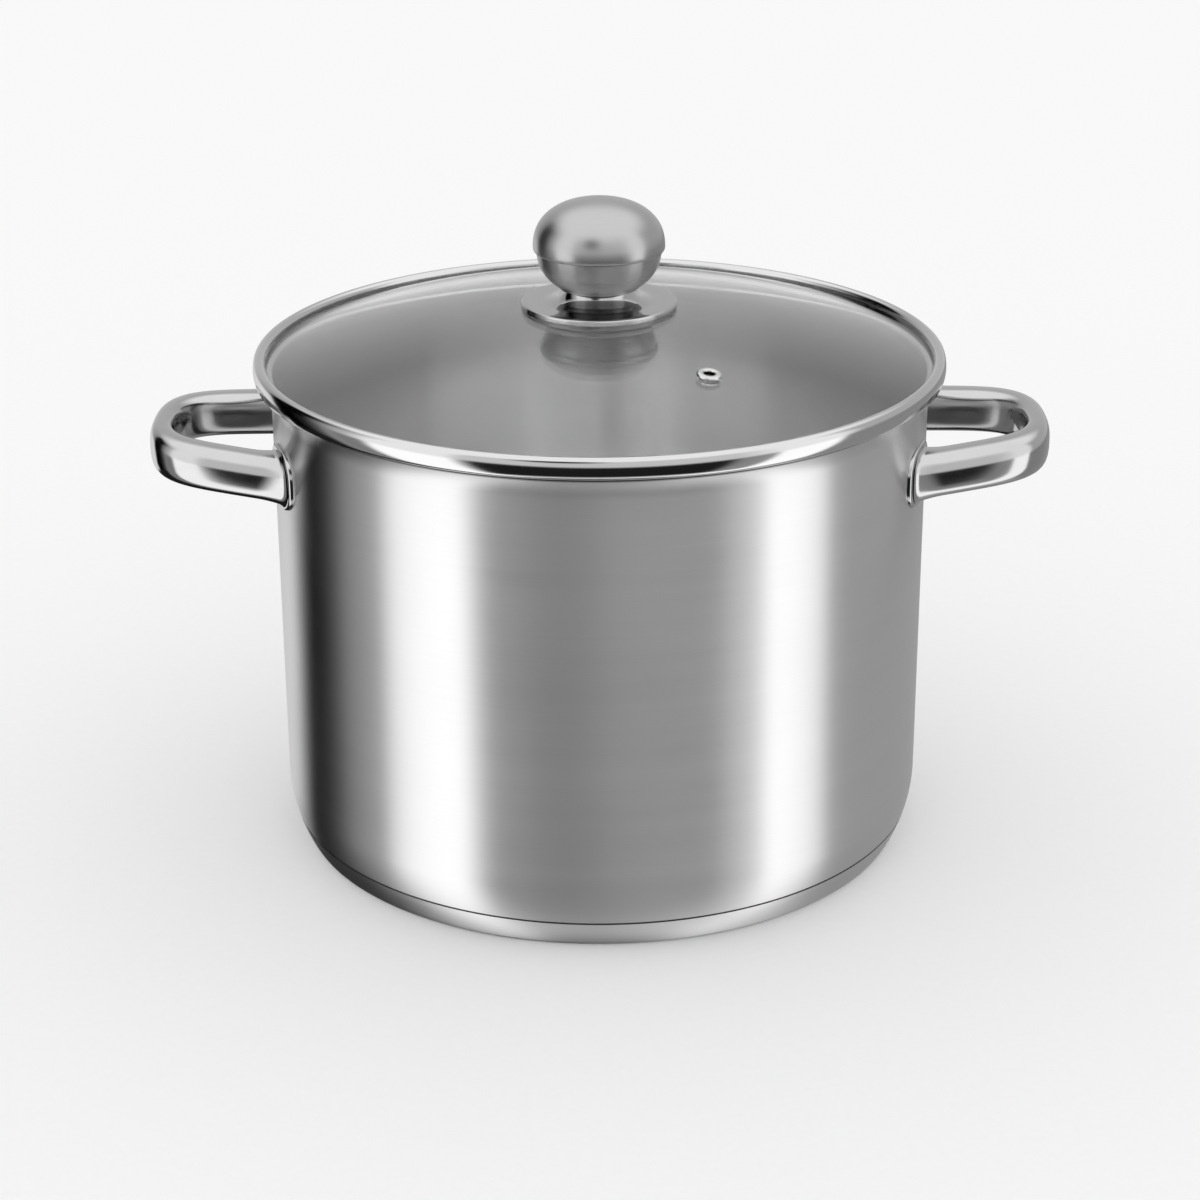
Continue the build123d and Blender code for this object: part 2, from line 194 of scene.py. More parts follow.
def cap_run(depth):
    """Underside and heel of the base, up to the seam."""
    corner = heel_corner(HEEL_R - depth, CAP_CORNER_R - depth, depth)
    meet_angle = angle_to(HEEL_C, corner)
    top = heel_at(HEEL_R - depth, CAP_TOP_Z)
    return joined(
        [(0, depth)],
        line((0, depth), (corner[0], depth), 24),
        arc(corner, CAP_CORNER_R - depth, -90, meet_angle, 8),
        arc(HEEL_C, HEEL_R - depth, meet_angle, angle_to(HEEL_C, top), 6),
    )


# Lid profiles

BAND_R = span("lid_rim_band")[1].x
DOME_R, DOME_TOP_Z = 389.2, 202.0
DOME_C = (0, DOME_TOP_Z - DOME_R)
GLASS_T = 4.0
GLASS_EDGE_R = 122.8
KNOB_HOLE_R = 4.0
BAND_T = 0.45
BAND_FACE_R, BAND_FACE_HALF = 9.0, 15.5
BAND_CORNER_R = 2.1
BAND_LIFT = 0.01
SKIRT_R, SKIRT_BEND_R, SKIRT_BOTTOM_Z = 118.6, 0.9, 170.6


def dome_at(radius, depth):
    return (radius, DOME_C[1] + sqrt((DOME_R - depth) ** 2 - radius**2))


def glass_outline():
    """Section of the dome, with a round edge and the hole for the knob."""
    middle_r = DOME_R - GLASS_T / 2
    lean = degrees(asin(GLASS_EDGE_R / middle_r))
    top_start = angle_to(DOME_C, dome_at(KNOB_HOLE_R, 0))
    foot_end = angle_to(DOME_C, dome_at(KNOB_HOLE_R, GLASS_T))
    middle = (middle_r * sin(radians(lean)), DOME_C[1] + middle_r * cos(radians(lean)))
    upper = arc(DOME_C, DOME_R, top_start, 90 - lean, 60)
    edge = arc(middle, GLASS_T / 2, 90 - lean, -90 - lean, 12)
    lower = arc(DOME_C, DOME_R - GLASS_T, 90 - lean, foot_end, 60)
    return joined(upper, edge, lower)[::-1]


def band_run(depth):
    """Rim band from the glass over the bead, along the seat, to the foot of the skirt."""
    reach = BAND_FACE_R - BAND_CORNER_R
    half = radians(BAND_FACE_HALF)
    middle_z = SEAT_Z + BAND_CORNER_R + reach * sin(half)
    face = (BAND_R - BAND_FACE_R, middle_z)
    top = (face[0] + reach * cos(half), face[1] + reach * sin(half))
    bottom = (top[0], 2 * middle_z - top[1])
    corner_r = BAND_CORNER_R - depth
    foot = dome_at(top[0] - corner_r, 0)
    bend = (SKIRT_R + SKIRT_BEND_R, SEAT_Z - SKIRT_BEND_R)
    return joined(
        [(foot[0], foot[1] + BAND_LIFT)],
        arc(top, corner_r, 180, BAND_FACE_HALF, 14),
        arc(face, BAND_FACE_R - depth, BAND_FACE_HALF, -BAND_FACE_HALF, 10),
        arc(bottom, corner_r, -BAND_FACE_HALF, -90, 10),
        arc(bend, SKIRT_BEND_R + depth, 90, 180, 8),
        [(SKIRT_R - depth, SKIRT_BOTTOM_Z)],
    )


# Materials


class Graph:
    """Nodes of one shader. A value may be a socket or a number, or a colour for a colour socket."""

    def __init__(self, tree):
        self.nodes, self.links = tree.nodes, tree.links

    def feed(self, value, socket):
        if isinstance(value, bpy.types.NodeSocket):
            self.links.new(value, socket)
        elif socket.type == "RGBA":
            socket.default_value = self.colour(value)
        else:
            socket.default_value = value

    @staticmethod
    def colour(value):
        return (*value, 1) if isinstance(value, tuple) else (value, value, value, 1)

    def maths(self, kind, a, b=None, clamp=False):
        node = self.nodes.new("ShaderNodeMath")
        node.operation = kind
        node.use_clamp = clamp
        self.feed(a, node.inputs[0])
        if b is not None:
            self.feed(b, node.inputs[1])
        return node.outputs[0]

    def plus(self, a, b):
        return self.maths("ADD", a, b)

    def minus(self, a, b):
        return self.maths("SUBTRACT", a, b)

    def times(self, a, b):
        return self.maths("MULTIPLY", a, b)

    def split(self, vector):
        node = self.nodes.new("ShaderNodeSeparateXYZ")
        self.feed(vector, node.inputs[0])
        return node.outputs

    def vector(self, *parts):
        node = self.nodes.new("ShaderNodeCombineXYZ")
        for part, socket in zip(parts, node.inputs):
            self.feed(part, socket)
        return node.outputs[0]

    def noise(self, vector, scale, detail, rough):
        node = self.nodes.new("ShaderNodeTexNoise")
        node.inputs["Scale"].default_value = scale
        node.inputs["Detail"].default_value = detail
        node.inputs["Roughness"].default_value = rough
        self.feed(vector, node.inputs["Vector"])
        return node.outputs["Fac"]

    def ramp(self, factor, stops):
        """Colour ramp from (position, grey or colour) stops."""
        node = self.nodes.new("ShaderNodeValToRGB")
        elements = node.color_ramp.elements
        while len(elements) > 1:
            elements.remove(elements[-1])
        elements[0].position = stops[0][0]
        elements[0].color = self.colour(stops[0][1])
        for position, value in stops[1:]:
            elements.new(position).color = self.colour(value)
        self.feed(factor, node.inputs[0])
        return node.outputs[0]

    def blend(self, a, b, factor):
        """Colour that goes from a to b."""
        node = self.nodes.new("ShaderNodeMix")
        node.data_type = "RGBA"
        self.feed(factor, node.inputs["Factor"])
        self.feed(a, node.inputs[6])
        self.feed(b, node.inputs[7])
        return node.outputs[2]

    def rise(self, value, start, end):
        """0 at start and 1 at end, clamped."""
        node = self.nodes.new("ShaderNodeMapRange")
        node.inputs["From Min"].default_value = start
        node.inputs["From Max"].default_value = end
        self.feed(value, node.inputs["Value"])
        return node.outputs["Result"]

    def bump(self, height, strength, distance):
        node = self.nodes.new("ShaderNodeBump")
        node.inputs["Strength"].default_value = strength
        node.inputs["Distance"].default_value = distance
        self.feed(height, node.inputs["Height"])
        return node.outputs[0]


def new_material(name):
    mat = bpy.data.materials.new(name)
    mat.use_nodes = True
    graph = Graph(mat.node_tree)
    texture = graph.nodes.new("ShaderNodeTexCoord")
    return mat, graph, graph.nodes["Principled BSDF"], texture.outputs


# Brushing noise: cells per metre in X and Y of the fine and the broad lines, and how many broad
# lines there are to each fine one
FINE_AROUND, BROAD_AROUND, BROAD_PITCH = 14, 6, 0.06
# Grey of the painted shade on the outside of the wall, in gaps and steps where shade falls
PAINTED_SHADE_GREY = 0.06


def inside_mask(graph, x, y, radius, normal):
    """1 on faces that look towards the axis or upwards, else 0."""
    nx, ny, nz = graph.split(normal)
    outward = graph.plus(graph.times(x, nx), graph.times(y, ny))
    inward = graph.maths("LESS_THAN", graph.maths("DIVIDE", outward, radius), -0.1)
    return graph.maths("MAXIMUM", inward, graph.maths("GREATER_THAN", nz, 0.3))


def turned_steel(name, grey, rough, brush=0.05, bump=0.15, aniso=0.0, rings=5000, fall=1,
                 cloud=0.03, inside=None, painted_shade_bands=()):
    """Metal turned about Z. fall is the sign of z in the ring coordinate radius + fall * z.

    inside, if given, is the (grey, roughness) of the faces that look inwards or up; the last
    argument lists the (start, end) heights in mm over which the outside is darkened with painted
    shade."""
    mat, graph, bsdf, texture = new_material(name)
    plus, minus, times = graph.plus, graph.minus, graph.times
    coord = texture["Object"]
    x, y, z = graph.split(coord)
    radius = graph.maths("SQRT", plus(times(x, x), times(y, y)))
    ring = plus(radius, times(z, fall))

    def lines(around, pitch, detail, softness):
        place = graph.vector(times(x, around), times(y, around), times(ring, pitch))
        return graph.noise(place, 1.0, detail, softness)

    fine = lines(FINE_AROUND, rings, 5, 0.6)
    broad = lines(BROAD_AROUND, rings * BROAD_PITCH, 3, 0.5)
    smudge = graph.noise(coord, 22.0, 5, 0.6)
    streak = plus(times(fine, 0.6), times(broad, 0.4))
    colour = graph.ramp(streak, [(0.25, grey * (1 - brush)), (0.75, min(1, grey * (1 + brush)))])
    if inside:
        inside_grey, inside_rough = inside
        mask = inside_mask(graph, x, y, radius, texture["Normal"])
        colour = graph.blend(colour, inside_grey, mask)
        rough = plus(rough, times(mask, inside_rough - rough))
        outside = minus(1, mask)
        # Painted shade: the outside is darkened over these heights, where shade would fall
        for start, end in painted_shade_bands:
            shade = times(outside, graph.rise(z, start * MM, end * MM))
            colour = graph.blend(colour, PAINTED_SHADE_GREY, shade)
    graph.feed(colour, bsdf.inputs["Base Color"])
    spread = times(minus(streak, 0.5), brush * 2)
    patchy = times(minus(smudge, 0.5), cloud * 4)
    total = graph.maths("ADD", rough, plus(spread, patchy), True)
    graph.feed(total, bsdf.inputs["Roughness"])
    bsdf.inputs["Metallic"].default_value = 1.0
    if aniso:
        bsdf.inputs["Anisotropic"].default_value = aniso
        bsdf.inputs["Anisotropic Rotation"].default_value = 0.25
        tangent = graph.nodes.new("ShaderNodeTangent")
        tangent.direction_type = "RADIAL"
        tangent.axis = "Z"
        graph.feed(tangent.outputs[0], bsdf.inputs["Tangent"])
    graph.feed(graph.bump(streak, bump, 0.00002), bsdf.inputs["Normal"])
    return mat


def polished_steel(name, grey, rough, scale=60, cloud=0.04, bump=0.1):
    """Polished steel with faint swirls and smears, for shapes with no turning axis."""
    mat, graph, bsdf, texture = new_material(name)
    plus, minus, times = graph.plus, graph.minus, graph.times
    coord = texture["Object"]
    smear = graph.nodes.new("ShaderNodeMapping")
    smear.inputs["Scale"].default_value = (1, 1, 4)
    graph.feed(coord, smear.inputs[0])
    large = graph.noise(smear.outputs[0], scale, 5, 0.6)
    small = graph.noise(coord, scale * 18, 3, 0.5)
    colour = graph.ramp(large, [(0.3, grey * 0.965), (0.7, min(1, grey * 1.03))])
    graph.feed(colour, bsdf.inputs["Base Color"])
    mixed = plus(times(large, 0.7), times(small, 0.3))
    patchy = times(minus(mixed, 0.5), cloud * 3)
    graph.feed(graph.maths("ADD", rough, patchy, True), bsdf.inputs["Roughness"])
    bsdf.inputs["Metallic"].default_value = 1.0
    graph.feed(graph.bump(large, bump, 0.00003), bsdf.inputs["Normal"])
    return mat


def clear_glass(name):
    """Clear glass with a faint uneven film."""
    mat, graph, bsdf, texture = new_material(name)
    film = graph.noise(texture["Object"], 18.0, 6, 0.62)
    graph.feed(graph.ramp(film, [(0.35, 0.0), (0.75, 0.035)]), bsdf.inputs["Roughness"])
    tone = graph.ramp(film, [(0, (0.97, 0.98, 0.975)), (1, (0.985, 0.992, 0.988))])
    graph.feed(tone, bsdf.inputs["Base Color"])
    bsdf.inputs["Metallic"].default_value = 0.0
    bsdf.inputs["IOR"].default_value = 1.5
    bsdf.inputs["Transmission Weight"].default_value = 1.0
    return mat


def silicone(name):
    mat, graph, bsdf, texture = new_material(name)
    grain = graph.noise(texture["Object"], 900.0, 3, 0.5)
    tone = graph.ramp(grain, [(0, (0.50, 0.50, 0.48)), (1, (0.62, 0.62, 0.60))])
    graph.feed(tone, bsdf.inputs["Base Color"])
    bsdf.inputs["Roughness"].default_value = 0.55
    bsdf.inputs["Specular IOR Level"].default_value = 0.4
    graph.feed(graph.bump(grain, 0.3, 0.00005), bsdf.inputs["Normal"])
    return mat


# The two height bands paint shade on the outside: in the gap under the lid rim and in the step at
# the base seam
pot_steel = turned_steel(
    "pot_steel", 0.64, 0.31, brush=0.03, bump=0.12, aniso=1.0, rings=3500, cloud=0.012,
    inside=(0.88, 0.1), painted_shade_bands=((175.6, 176.4), (11.1, 10.85)),
)
base_steel = turned_steel(
    "base_steel", 0.6, 0.3, brush=0.05, bump=0.2, aniso=0.8, rings=3000, cloud=0.02
)
rim_steel = turned_steel("rim_steel", 0.52, 0.1, brush=0.02, bump=0.05, rings=6000, cloud=0.012)
vent_steel = turned_steel("vent_steel", 0.52, 0.12, brush=0.03, bump=0.05, rings=9000, cloud=0.02)
knob_satin = turned_steel(
    "knob_satin", 0.4, 0.3, brush=0.06, bump=0.2, aniso=0.4, rings=9000, fall=-1, cloud=0.03
)
knob_polished = turned_steel(
    "knob_polished", 0.42, 0.07, brush=0.05, bump=0.12, rings=8000, fall=-1, cloud=0.012
)
bowl_steel = turned_steel(
    "bowl_steel", 0.36, 0.31, brush=0.06, bump=0.12, aniso=1.0, rings=8000, fall=-1, cloud=0.012
)
handle_steel = polished_steel("handle_steel", 0.45, 0.12)
core_aluminium = turned_steel(
    "core_aluminium", 0.72, 0.35, brush=0.08, bump=0.3, rings=2000, cloud=0.03
)
fixing_steel = turned_steel(
    "fixing_steel", 0.56, 0.28, brush=0.08, bump=0.3, rings=9000, cloud=0.04
)
glass = clear_glass("lid_glass_clear")
soft_rubber = silicone("silicone_translucent")

# Pot pieces

wall = lathe("pot_wall", closed_sheet(wall_run, WALL_T))
finish_piece(wall, "pot", "pot_steel", pot_steel, "pot_body")
base_shell = lathe("base_shell", closed_sheet(cap_run, CAP_T))
finish_piece(base_shell, "pot", "base_steel", base_steel, "base_cap")


# Handles

GRIP_ROOT_X = 112.0
# Edges of a grip from above: reach, half width at the root, taper, and the powers of the curve
OUTER_EDGE = (165.29, 47.35, 0.278, 6.73, 2.5)
INNER_EDGE = (156.3, 30.7, 0.244, 7.32, 2.49)
GRIP_HALF_H = 8.24
GRIP_SQUARENESS = 2.8
GRIP_Z, GRIP_Z_AT_X, GRIP_SLOPE = 150.9, 145.0, 0.077
SECTION_POINTS = 40
LEG_STEPS = 72
# Widening towards the foot: share of the leg over which it fades, and its size in mm
FILLET_SHARE, FILLET_GROW = 0.022, 0.6
FLARE_SHARE, FLARE_GROW = 0.13, 0.9
FILLET_ROWS = [0.0, 0.003, 0.006, 0.01, 0.015, FILLET_SHARE]
FIRST_STEP_SHARE = 0.026
FOOT_R = 121.3
ROOT_DEPTH = 0.3


def edge_at(edge, t):
    reach, half, taper, run_power, width_power = edge
    run = sin(t * pi / 2)
    x = GRIP_ROOT_X + (reach - GRIP_ROOT_X) * run
    y = half - taper * (x - GRIP_ROOT_X)
    return np.array((x, y * max(0.0, 1 - abs(run) ** run_power) ** (1 / width_power)))


def rounded(value):
    """Coordinate of a superellipse, from the cosine or sine of its angle."""
    return (1 if value >= 0 else -1) * abs(value) ** (2 / GRIP_SQUARENESS)


def grip_point(t, a, grow=0.0):
    """Point of the +Y leg at run t and section angle a."""
    outer, inner = edge_at(OUTER_EDGE, t), edge_at(INNER_EDGE, t)
    half = (outer - inner) / 2
    middle = (outer + inner) / 2
    p = middle + half * (1 + grow / np.linalg.norm(half)) * rounded(cos(a))
    middle_z = GRIP_Z + GRIP_SLOPE * (middle[0] - GRIP_Z_AT_X)
    return np.array((p[0], p[1], middle_z + (GRIP_HALF_H + grow) * rounded(sin(a))))


def root_t(a):
    """Run at which the section line at angle a meets the foot, a little below its face."""
    low, high = -0.12, 0.4
    for _ in range(40):
        mid = (low + high) / 2
        p = grip_point(mid, a)
        if hypot(p[0], p[1]) < FOOT_R - ROOT_DEPTH:
            low = mid
        else:
            high = mid
    return low


def make_grip(name, side):
    """Loop made of one leg from the foot to the middle, and its mirror image."""
    angles = [2 * pi * k / SECTION_POINTS for k in range(SECTION_POINTS)]
    roots = [root_t(a) for a in angles]
    steps = [k / LEG_STEPS for k in range(LEG_STEPS + 1)]
    leg = []
    for share in FILLET_ROWS + [s for s in steps if s > FIRST_STEP_SHARE]:
        fillet = FILLET_GROW * max(0.0, 1 - share / FILLET_SHARE) ** 2
        flare = FLARE_GROW * max(0.0, 1 - share / FLARE_SHARE) ** 2
        leg.append([
            grip_point(t0 + (1 - t0) * share, a, fillet + flare) for a, t0 in zip(angles, roots)
        ])
    mirrored = [[np.array((p[0], -p[1], p[2])) for p in row] for row in reversed(leg[:-1])]
    rows = leg + mirrored
    verts = [(side * p[0], side * p[1], p[2]) for row in rows for p in row]
    index = [[j * SECTION_POINTS + k for k in range(SECTION_POINTS)] for j in range(len(rows))]
    faces = []
    for here, there in zip(index, index[1:]):
        for k in range(SECTION_POINTS):
            n = (k + 1) % SECTION_POINTS
            faces.append((here[k], here[n], there[n], there[k]))
    faces.append(tuple(reversed(index[0])))
    faces.append(tuple(index[-1]))
    return new_object(name, verts, faces, 50)


FOOT_CORNER_R, FOOT_EASE = 9.0, 0.7
FOOT_BACK_R = 120.05
FOOT_CORNER_POINTS = 13


def make_foot(name, side_x, side_y):
    """Rounded plate on the wall, its edge eased."""
    node_side = "right" if side_x > 0 else "left"
    node = f"handle_{node_side}_foot_{'back' if side_y > 0 else 'front'}"
    low, high = span(node)
    half_w, half_h = (high.y - low.y) / 2, (high.z - low.z) / 2
    cy, cz = (abs(high.y) + abs(low.y)) / 2, (high.z + low.z) / 2
    ease = FOOT_EASE
    layers = [(0.0, FOOT_BACK_R), (0.0, FOOT_R - ease)]
    for a in np.linspace(0.2, pi / 2, 6):
        layers.append((ease * (1 - cos(a)), FOOT_R - ease + ease * sin(a)))
    layers += [(inset, FOOT_R) for inset in (2.0, 4.0, 6.0, 8.0)]

    def outline(inset):
        points = []
        r = FOOT_CORNER_R - inset
        for q in range(4):
            cx = (half_w - FOOT_CORNER_R) * (1 if q in (0, 3) else -1)
            ch = (half_h - FOOT_CORNER_R) * (1 if q in (0, 1) else -1)
            for a in np.linspace(q * pi / 2, (q + 1) * pi / 2, FOOT_CORNER_POINTS):
                points.append((cx + r * cos(a), ch + r * sin(a)))
        return points

    count = 4 * FOOT_CORNER_POINTS
    verts, faces, rows = [], [], []
    for inset, radius in layers:
        rows.append([len(verts) + k for k in range(count)])
        for y, z in outline(inset):
            across = cy + y
            verts.append((side_x * sqrt(radius**2 - across**2), side_y * across, cz + z))
    for low_row, high_row in zip(rows, rows[1:]):
        for k in range(count):
            n = (k + 1) % count
            faces.append((low_row[k], low_row[n], high_row[n], high_row[k]))
    faces.append(tuple(rows[-1]))
    faces.append(tuple(reversed(rows[0])))
    if side_x * side_y < 0:
        faces = [tuple(reversed(face)) for face in faces]
    obj = new_object(name, verts, faces, 40)
    return finish_piece(obj, "pot", "handle_steel", handle_steel, node)


for side_name, side in (("right", 1), ("left", -1)):
    grip = make_grip(f"{side_name}_grip_loop", side)
    finish_piece(grip, "pot", "handle_steel", handle_steel, f"handle_{side_name}_grip")
    for end_name, end in (("back", 1), ("front", -1)):
        make_foot(f"{side_name}_{end_name}_foot_plate", side, end)


# Lid pieces

VENT_RADIUS, VENT_ANGLE = 75.2, -60.0
VENT_HOLE_R, VENT_CUT_HALF = 2.8, 20
VENT_BORE_R, VENT_TUBE_R, VENT_MOUTH_R = 1.9, 2.6, 0.8
VENT_FLANGE_R, VENT_FLANGE_T = 4.5, 1.0
VENT_FOOT_R, VENT_FOOT_T = 3.9, 0.9
VENT_GRIP = 4.03
vent_matrix = (
    Matrix.Rotation(radians(VENT_ANGLE), 4, "Z")
    @ Matrix.Translation((0, 0, DOME_C[1] * MM))
    @ Matrix.Rotation(asin(VENT_RADIUS / DOME_R), 4, "Y")
    @ Matrix.Translation((0, 0, DOME_R * MM))
)

glass_obj = lathe("glass_dome", glass_outline(), sharp=60)
cutter_outline = [
    (0, -VENT_CUT_HALF),
    (VENT_HOLE_R, -VENT_CUT_HALF),
    (VENT_HOLE_R, VENT_CUT_HALF),
    (0, VENT_CUT_HALF),
]
cutter = lathe("vent_cutter", cutter_outline, steps=48)
cutter.data.transform(vent_matrix)
cut = glass_obj.modifiers.new("vent", "BOOLEAN")
cut.object = cutter
cut.operation = "DIFFERENCE"
cut.solver = "EXACT"
bpy.context.view_layer.update()
evaluated = glass_obj.evaluated_get(bpy.context.evaluated_depsgraph_get())
cut_mesh = bpy.data.meshes.new_from_object(evaluated)
glass_obj.modifiers.clear()
glass_obj.data = cut_mesh
bpy.data.objects.remove(cutter)
finish_piece(glass_obj, "lid", "lid_glass", glass, "lid_glass")

band = lathe("rim_band", closed_sheet(band_run, BAND_T)[::-1])
finish_piece(band, "lid", "rim_steel", rim_steel, "lid_rim_band")

mouth_x = VENT_BORE_R + VENT_MOUTH_R
foot_z = -VENT_GRIP - VENT_FOOT_T
vent_outline = joined(
    [(VENT_TUBE_R, 0.0), (VENT_FLANGE_R, 0.0)],
    arc((VENT_FLANGE_R - VENT_FLANGE_T, 0.0), VENT_FLANGE_T, 0, 90, 8),
    arc((mouth_x, VENT_FLANGE_T - VENT_MOUTH_R), VENT_MOUTH_R, 90, 180, 8),
    arc((mouth_x, foot_z + VENT_MOUTH_R), VENT_MOUTH_R, 180, 270, 8),
    arc((VENT_FOOT_R - VENT_FOOT_T, -VENT_GRIP), VENT_FOOT_T, -90, 0, 8),
    [(VENT_TUBE_R, -VENT_GRIP)],
)
vent = lathe("vent_eyelet", vent_outline, steps=64)
vent.data.transform(vent_matrix)
finish_piece(vent, "lid", "vent_steel", vent_steel, "vent_grommet")

# Knob

KNOB_R, KNOB_Z, KNOB_TOP_Z = 23.9, 222.9, 240.3
KNOB_POWER = 2 / 2.3
KNOB_SHEET_T, BASE_SHEET_T = 0.5, 0.6
CRIMP_R, CRIMP_START = 1.5, -70
BOWL_R, BOWL_DEPTH = 22.7, 17.4
BOWL_LINE_Z, BOWL_LINE_DEPTH, BOWL_LINE_HALF = 214.0, 0.12, 0.25
BOWL_FOOT_R = 0.6
COLLAR_R = 14.8
SCREW_HOLE_R = 2.8
NECK_R, NECK_Z = 12.3, 208.0
RECESS_IN, RECESS_DOWN = 0.9, 0.5
TRUMPET_R, TRUMPET_FOOT_R = 6.6, 18.2
FLANGE_R, FLANGE_Z, FLANGE_BOTTOM_Z = 28.3, 203.0, 201.05
FLANGE_EDGE_R = 0.7
# Points of the small fillet between trumpet and flange: out from the crease, above the flange
CREASE_FILLET = ((0.1, 0.17), (0.5, 0.03))
FILLET_TOP = 0.5


def knob_curve(half_width, rise, turn, steps):
    """Superellipse from the knob's widest point through this turn."""
    return [
        (half_width * abs(cos(a)) ** KNOB_POWER, KNOB_Z + rise * sin(a) ** KNOB_POWER)
        for a in np.linspace(0, turn, steps)
    ]


def dome_run(depth):
    """Crimp and dome of the knob, up to its top."""
    crimp = (KNOB_R - CRIMP_R, KNOB_Z)
    dome = knob_curve(KNOB_R - depth, KNOB_TOP_Z - KNOB_Z - depth, pi / 2, 48)
    rolled = arc(crimp, CRIMP_R - depth, CRIMP_START, 0, 8)
    return joined(rolled, dome[:-1], [(0, KNOB_TOP_Z - depth)])


def bowl_run(depth):
    """Belly of the bowl with one fine turned line, and its foot."""
    collar_angle = acos((COLLAR_R / BOWL_R) ** (1 / KNOB_POWER))
    belly = knob_curve(BOWL_R - depth, depth - BOWL_DEPTH, collar_angle, 64)
    if depth == 0:
        belly = [
            (r - BOWL_LINE_DEPTH * exp(-(((z - BOWL_LINE_Z) / BOWL_LINE_HALF) ** 2)), z)
            for r, z in belly
        ]
    foot = (belly[-1][0] - BOWL_FOOT_R + depth, NECK_Z + BOWL_FOOT_R)
    return joined(
        belly,
        arc(foot, BOWL_FOOT_R - depth, 0, -90, 5),
        [(SCREW_HOLE_R, NECK_Z + depth)],
    )


def base_run(depth):
    """Trumpet and flange, with a recess under the bowl on the outside only."""
    neck, foot = Vector((NECK_R, NECK_Z)), Vector((TRUMPET_FOOT_R, FLANGE_Z))
    chord = foot - neck
    lift = sqrt(TRUMPET_R**2 - (chord.length / 2) ** 2) / chord.length
    centre = ((neck.x + foot.x) / 2 - chord.y * lift, (neck.y + foot.y) / 2 + chord.x * lift)
    r = TRUMPET_R + depth

    def on_trumpet(z):
        return (centre[0] - sqrt(r**2 - (centre[1] - z) ** 2), z)

    crease = on_trumpet(FLANGE_Z - depth)
    start = angle_to(centre, on_trumpet(NECK_Z - depth)) % 360
    end = angle_to(centre, crease) % 360
    trumpet = arc(centre, r, start, end, 24)
    recess, fillet = [], []
    if depth == 0:
        recess_x, recess_z = NECK_R - RECESS_IN, NECK_Z - RECESS_DOWN
        recess = [(recess_x, NECK_Z), (recess_x, recess_z)]
        trumpet = [p for p in trumpet if FLANGE_Z + FILLET_TOP < p[1] < recess_z - 0.05]
        fillet = [(crease[0] + out, FLANGE_Z + above) for out, above in CREASE_FILLET]
    flange_z = FLANGE_Z - depth
    edge = (FLANGE_R - FLANGE_EDGE_R, FLANGE_Z - FLANGE_EDGE_R)
    return joined(
        [(SCREW_HOLE_R, NECK_Z - depth)],
        recess,
        trumpet,
        fillet,
        line((crease[0] + CREASE_FILLET[-1][0], flange_z), (edge[0], flange_z), 4),
        arc(edge, FLANGE_EDGE_R - depth, 90, 0, 8),
        [(FLANGE_R - depth, FLANGE_BOTTOM_Z)],
    )


dome = lathe("knob_dome", closed_sheet(dome_run, KNOB_SHEET_T))
finish_piece(dome, "lid", "knob_satin_steel", knob_satin, "knob_cap")
bowl = lathe("knob_bowl_shell", closed_sheet(bowl_run, KNOB_SHEET_T)[::-1])
finish_piece(bowl, "lid", "knob_polished_steel", bowl_steel, "knob_bowl")
base = lathe("knob_base_shell", closed_sheet(base_run, BASE_SHEET_T)[::-1])
finish_piece(base, "lid", "knob_polished_steel", knob_polished, "knob_base")

# CAD nodes that stay

for node, material in (
    ("base_core", core_aluminium),
    ("knob_insert", fixing_steel),
    ("knob_gasket_top", soft_rubber),
    ("knob_gasket_bottom", soft_rubber),
    ("knob_washer", fixing_steel),
    ("knob_lock_washer", fixing_steel),
    ("knob_screw", fixing_steel),
):
    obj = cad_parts[node]
    obj.data.materials.clear()
    obj.data.materials.append(material)

# Floor

FLOOR_HALF = 6.0
FLOOR_DROP = 0.0002
floor_mesh = bpy.data.meshes.new("floor")
floor_corners = [
    (-FLOOR_HALF, -FLOOR_HALF, 0),
    (FLOOR_HALF, -FLOOR_HALF, 0),
    (FLOOR_HALF, FLOOR_HALF, 0),
    (-FLOOR_HALF, FLOOR_HALF, 0),
]
floor_mesh.from_pydata(floor_corners, [], [(0, 1, 2, 3)])
floor = bpy.data.objects.new("floor", floor_mesh)
bpy.context.scene.collection.objects.link(floor)
floor.location.z = cad_box[0][2] - FLOOR_DROP
floor.visible_glossy = False
paper, graph, bsdf, texture = new_material("floor_paper")
grain = graph.noise(texture["Object"], 300.0, 3, 0.5)
graph.feed(graph.ramp(grain, [(0, 0.93), (1, 0.96)]), bsdf.inputs["Base Color"])
bsdf.inputs["Roughness"].default_value = 0.9
bsdf.inputs["Specular IOR Level"].default_value = 0.0
floor_mesh.materials.append(paper)

# Studio: steel and glass mirror a surround of panels and dark gaps; white light falls on the rest

TOP_LIGHT, SHADE_LIGHT, NADIR_LIGHT, SPOT_LIGHT = 1.5, 0.02, 0.03, 0.05
SPOT_TURN, SPOT_RISE = radians(-14), radians(30)
SPOT_EDGE, SPOT_CORE = radians(17), radians(7)

scene = bpy.context.scene
world = bpy.data.worlds.new("studio")
scene.world = world
world.use_nodes = True
sky = Graph(world.node_tree)
sky.nodes.clear()

direction = sky.nodes.new("ShaderNodeTexCoord").outputs["Generated"]
dx, dy, dz = sky.split(direction)
turn = sky.maths("ARCTAN2", dx, sky.times(dy, -1))
turn01 = sky.plus(sky.maths("DIVIDE", turn, 2 * pi), 0.5)
rise01 = sky.plus(sky.maths("DIVIDE", sky.maths("ARCSINE", dz), pi), 0.5)


def ring_of(stops):
    """Brightness from (azimuth, level) stops. Degrees, 0 to the camera, positive to its right."""
    return sky.ramp(turn01, [((azimuth + 180) / 360, level) for azimuth, level in stops])


def step(start, end, before, after):
    """Weight that changes between two heights, where 0 is straight down and 1 straight up."""
    return sky.ramp(rise01, [(0.0, before), (start, before), (end, after), (1.0, after)])


